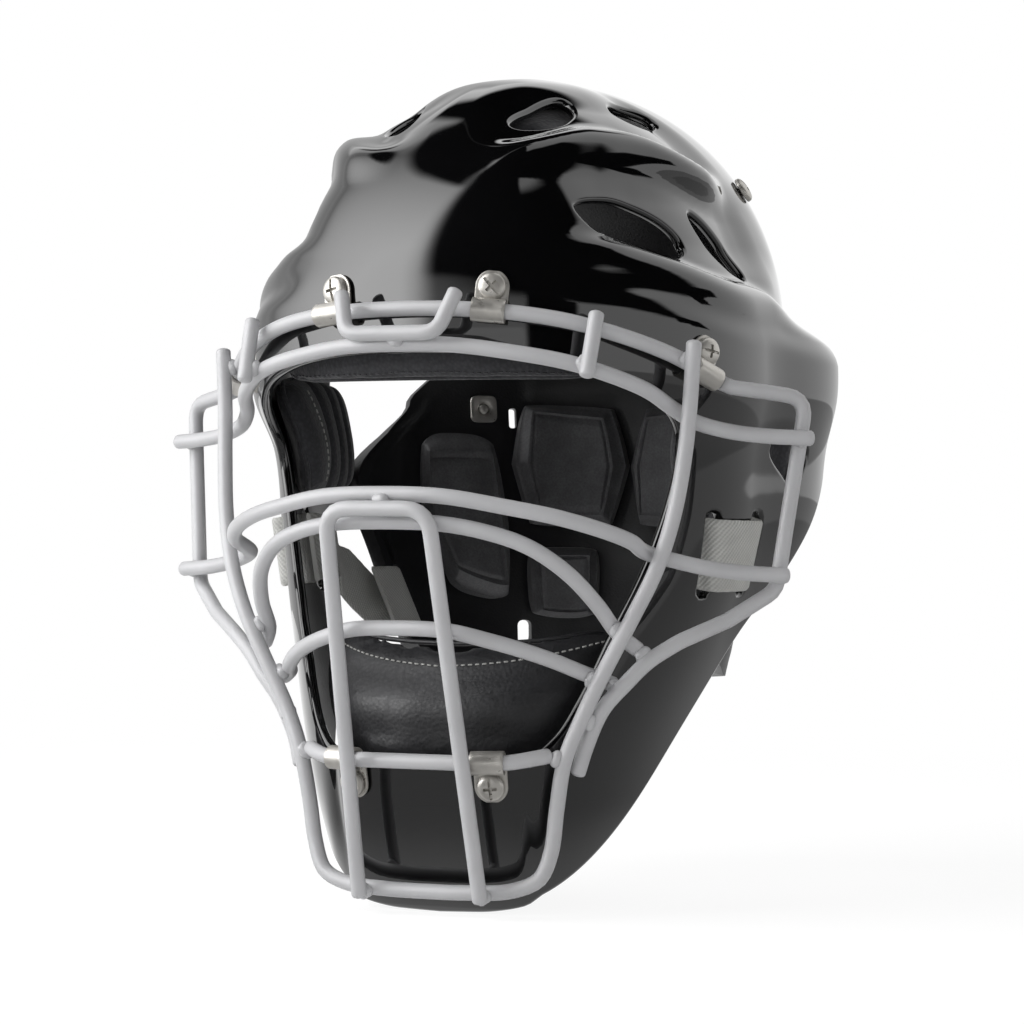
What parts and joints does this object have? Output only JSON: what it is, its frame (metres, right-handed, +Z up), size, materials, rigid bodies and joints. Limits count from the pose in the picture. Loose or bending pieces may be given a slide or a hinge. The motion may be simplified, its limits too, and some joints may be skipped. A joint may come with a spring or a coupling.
{
  "type": "catchers mask",
  "caption": "Hockey-style catcher's mask: moulded shell with vents, welded wire face cage on screwed clips, padded lining and a hinged back plate held by elastic straps.",
  "frame": {"origin": "middle of the wearer's head, level with the ear openings", "axes": "+Z up through the crown, -Y the way the face looks, +X the wearer's left"},
  "size_m": [0.2464, 0.246, 0.2956],
  "materials": {
    "shell": "gloss black moulded plastic",
    "plate": "satin black moulded plastic",
    "cage": "light grey powder coat on welded steel wire",
    "hardware": "bright nickel plate",
    "pad": "brushed charcoal fabric over foam",
    "vinyl_pad": "black vinyl over foam",
    "elastic": "light grey woven elastic"
  },
  "bodies": {
    "front": {"arch_wire": "cage", "brow_bar": "cage", "brow_pad": "pad", "chin_bar": "cage", "chin_pad": "vinyl_pad", "clip_chin_left": "hardware", "clip_chin_right": "hardware", "clip_forehead_left": "hardware", "clip_forehead_right": "hardware", "clip_temple_left": "hardware", "clip_temple_right": "hardware", "crown_pad": "pad", "eye_bar": "cage", "forehead_u": "cage", "front_shell": "shell", "mid_bar": "cage", "nose_wire": "cage", "nut_chin_left": "hardware", "nut_chin_right": "hardware", "nut_forehead_left": "hardware", "nut_forehead_right": "hardware", "nut_pivot_left": "hardware", "nut_pivot_right": "hardware", "nut_temple_left": "hardware", "nut_temple_right": "hardware", "perimeter_wire": "cage", "screw_chin_left": "hardware", "screw_chin_right": "hardware", "screw_forehead_left": "hardware", "screw_forehead_right": "hardware", "screw_pivot_left": "hardware", "screw_pivot_right": "hardware", "screw_temple_left": "hardware", "screw_temple_right": "hardware", "side_pad_left": "pad", "side_pad_right": "pad", "strap_left": "elastic", "strap_right": "elastic", "strut_left": "cage", "strut_right": "cage", "top_wire": "cage"},
    "back": {"back_pad_left": "pad", "back_pad_right": "pad", "back_plate": "plate", "nape_pad_left": "pad", "nape_pad_right": "pad", "nut_liner_left": "hardware", "nut_liner_right": "hardware", "screw_liner_left": "hardware", "screw_liner_right": "hardware", "wing_pad_left": "pad", "wing_pad_right": "pad"}
  },
  "joints": [
    {"name": "back_plate_hinge", "type": "hinge", "parent": "front", "child": "back", "pos_m": [0, 0.04355, 0.09682], "axis": [1, 0, 0], "range_deg": [0, 14], "stiffness_Nm_per_rad": 1, "deforming": ["strap_left", "strap_right"]}
  ]
}
